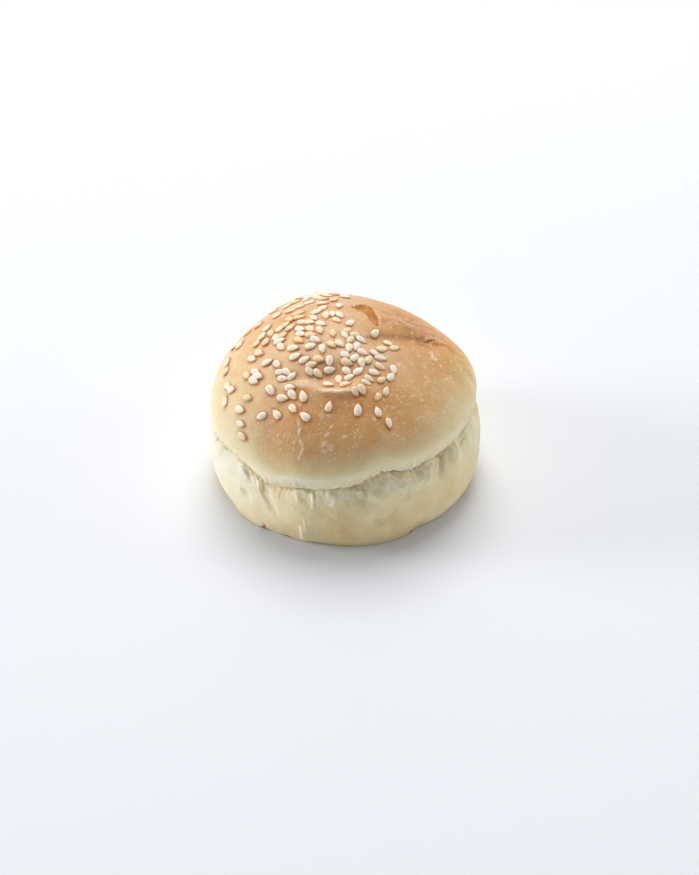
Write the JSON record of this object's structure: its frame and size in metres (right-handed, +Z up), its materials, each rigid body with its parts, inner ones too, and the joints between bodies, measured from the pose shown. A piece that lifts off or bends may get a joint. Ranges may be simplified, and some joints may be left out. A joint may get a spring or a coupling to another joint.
{
  "type": "sesame bread roll",
  "caption": "Soft round bread roll, uncut, with a browned domed crown topped with sesame seeds, a pale doughy base and a torn split line round its side.",
  "frame": {"origin": "middle of the flat underside", "axes": "+Z up through the crown, -Y out of the front, where the split is widest and the seeds reach lowest"},
  "size_m": [0.0656, 0.0656, 0.0415],
  "materials": {
    "crust": "browned bread crust, satin on the crown and dull on the pale dough",
    "sesame": "hulled sesame seed, lightly toasted"
  },
  "bodies": {
    "root": {"roll": "crust"}
  },
  "joints": []
}
